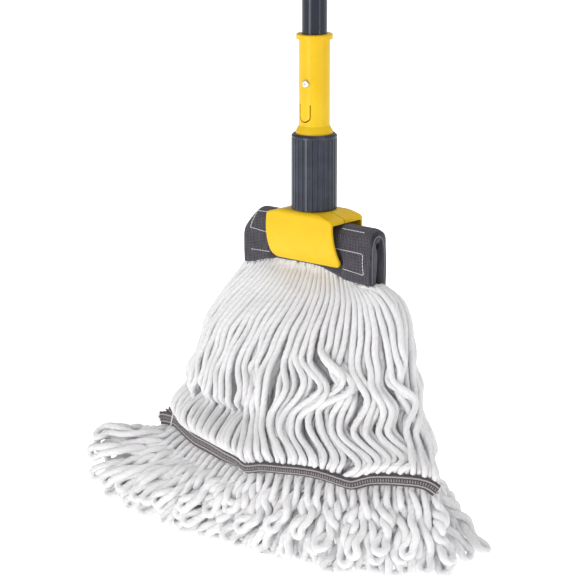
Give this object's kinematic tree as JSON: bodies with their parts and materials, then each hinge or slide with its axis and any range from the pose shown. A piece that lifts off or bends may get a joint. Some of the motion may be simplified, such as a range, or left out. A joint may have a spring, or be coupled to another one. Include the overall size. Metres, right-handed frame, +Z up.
{
  "type": "string mop",
  "caption": "Looped-end cotton wet mop: yarn head with mesh headband, held in a plastic jaw clamp shut by a screw collar, on a telescopic steel pole.",
  "frame": {"origin": "on the floor under the pole axis, at the middle of the mop head's footprint", "axes": "+Z up along the pole, X along the headband, the front jaw faces -Y"},
  "size_m": [0.472, 0.2098, 1.1495],
  "materials": {
    "yellow_plastic": "satin",
    "collar_plastic": "satin",
    "black_plastic": "matte",
    "bright_steel": "polished",
    "pole_paint": "gloss",
    "grip_rubber": "matte",
    "cap_plastic": "satin",
    "band_mesh": "matte",
    "tail_tape": "matte",
    "cotton_yarn": "matte"
  },
  "bodies": {
    "clamp": {"clamp_body": "yellow_plastic", "jaw_hinge_pin": "bright_steel", "pole_screw": "bright_steel", "lower_tube": "pole_paint", "tube_end_plug": "black_plastic", "lock_collet": "black_plastic", "headband": "band_mesh", "end_binding": "tail_tape", "yarns_front": "cotton_yarn", "yarns_rear": "cotton_yarn", "tail_band_front": "tail_tape", "tail_band_rear": "tail_tape"},
    "collar_ring": {"thrust_ring": "black_plastic"},
    "collar": {"screw_collar": "collar_plastic"},
    "jaw": {"front_jaw": "yellow_plastic"},
    "upper_pole": {"upper_tube": "pole_paint", "slide_bush": "black_plastic", "hand_grip": "grip_rubber", "end_cap": "cap_plastic"},
    "lock": {"lock_sleeve": "collar_plastic"}
  },
  "joints": [
    {"name": "collar_lift", "type": "slide", "parent": "clamp", "child": "collar_ring", "axis": [0, 0, 1], "range_m": [0, 0.012]},
    {"name": "collar_turn", "type": "hinge", "parent": "collar_ring", "child": "collar", "pos_m": [0, 0, 0.377], "axis": [0, 0, 1], "range_deg": [0, 720]},
    {"name": "jaw_open", "type": "hinge", "parent": "clamp", "child": "jaw", "pos_m": [0, 0.007, 0.334], "axis": [-1, 0, 0], "range_deg": [0, 14]},
    {"name": "pole_extend", "type": "slide", "parent": "clamp", "child": "upper_pole", "axis": [0, 0, 1], "range_m": [0, 0.35]},
    {"name": "lock_twist", "type": "hinge", "parent": "clamp", "child": "lock", "pos_m": [0, 0, 0.95], "axis": [0, 0, 1], "range_deg": [0, 90]}
  ],
  "couplings": [
    {"joint": "collar_turn", "follows": "collar_lift", "rad_per_m": 1047.2},
    {"joint": "jaw_open", "follows": "collar_lift", "rad_per_m": 20.36}
  ]
}
